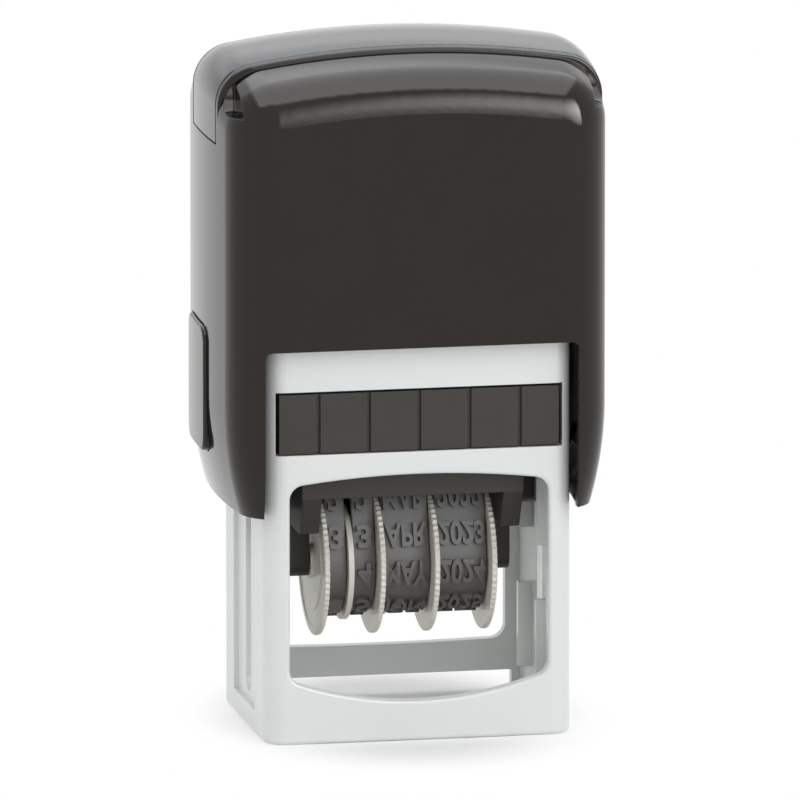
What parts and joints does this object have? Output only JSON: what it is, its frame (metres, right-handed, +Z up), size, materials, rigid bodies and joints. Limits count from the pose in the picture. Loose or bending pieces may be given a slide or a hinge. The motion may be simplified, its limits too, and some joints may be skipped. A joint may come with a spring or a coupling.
{
  "type": "self-inking date stamp",
  "caption": "Upright self-inking date stamp: a sliding cap over a windowed base frame turns a holder with date wheels and a text plate from the ink pad to the paper.",
  "frame": {"origin": "centre of the footprint, on the surface that the frame stands on", "axes": "+X to the stamp's right, +Y to its back, +Z up; the front with the pad slot faces -Y"},
  "size_m": [0.0536, 0.0354, 0.0933],
  "materials": {
    "black_gloss": "polished moulding",
    "grey_plastic": "satin moulding",
    "clear_plastic": "smoked clear moulding",
    "dark_plastic": "fine matt moulding",
    "pale_plastic": "natural moulding",
    "band_rubber": "vulcanised",
    "plate_rubber": "engraved rubber",
    "ink_felt": "inked felt",
    "axle_steel": "turned",
    "spring_steel": "drawn wire"
  },
  "bodies": {
    "frame_body": {"frame": "grey_plastic", "return_spring": "spring_steel"},
    "cap_body": {"cap": "black_gloss", "yoke": "dark_plastic"},
    "holder_body": {"date_holder": "dark_plastic", "text_plate": "plate_rubber", "band_guide": "dark_plastic", "wheel_axle": "axle_steel", "separator_disc": "pale_plastic", "flip_pin_left": "axle_steel", "flip_pin_right": "axle_steel", "flip_cam_left": "dark_plastic", "flip_cam_right": "dark_plastic", "day_tens_band": "band_rubber", "day_units_band": "band_rubber", "month_band": "band_rubber", "year_band": "band_rubber"},
    "pad_body": {"pad_cassette": "dark_plastic", "ink_pad": "ink_felt"},
    "window_body": {"index_window": "clear_plastic"},
    "button_left_body": {"lock_button_left": "black_gloss"},
    "button_right_body": {"lock_button_right": "black_gloss"},
    "day_tens_body": {"day_tens_wheel": "pale_plastic"},
    "day_units_body": {"day_units_wheel": "pale_plastic"},
    "month_body": {"month_wheel": "pale_plastic"},
    "year_body": {"year_wheel": "pale_plastic"}
  },
  "joints": [
    {"name": "cap_press", "type": "slide", "parent": "frame_body", "child": "cap_body", "axis": [0, 0, -1], "range_m": [0, 0.027], "stiffness_N_per_m": 350, "springref_m": -0.015, "deforming": ["return_spring"]},
    {"name": "die_flip", "type": "hinge", "parent": "cap_body", "child": "holder_body", "pos_m": [0, 0, 0.0331], "axis": [1, 0, 0], "range_deg": [0, 180]},
    {"name": "pad_slide", "type": "slide", "parent": "frame_body", "child": "pad_body", "axis": [0, 1, 0], "range_m": [-0.031, 0]},
    {"name": "window_lift", "type": "slide", "parent": "cap_body", "child": "window_body", "axis": [0, 0, 1], "range_m": [0, 0.0125]},
    {"name": "lock_left", "type": "slide", "parent": "cap_body", "child": "button_left_body", "axis": [1, 0, 0], "range_m": [0, 0.0009], "stiffness_N_per_m": 150, "springref_m": -0.002},
    {"name": "lock_right", "type": "slide", "parent": "cap_body", "child": "button_right_body", "axis": [-1, 0, 0], "range_m": [0, 0.0009], "stiffness_N_per_m": 150, "springref_m": -0.002},
    {"name": "day_tens_turn", "type": "hinge", "parent": "holder_body", "child": "day_tens_body", "pos_m": [-0.00953, 0, 0.02175], "axis": [1, 0, 0], "continuous": true},
    {"name": "day_units_turn", "type": "hinge", "parent": "holder_body", "child": "day_units_body", "pos_m": [-0.0057, 0, 0.02175], "axis": [1, 0, 0], "continuous": true},
    {"name": "month_turn", "type": "hinge", "parent": "holder_body", "child": "month_body", "pos_m": [0, 0, 0.02175], "axis": [1, 0, 0], "continuous": true},
    {"name": "year_turn", "type": "hinge", "parent": "holder_body", "child": "year_body", "pos_m": [0.00747, 0, 0.02175], "axis": [1, 0, 0], "continuous": true}
  ],
  "couplings": [
    {"joint": "die_flip", "follows": "cap_press", "rad_per_m": 116.35}
  ]
}
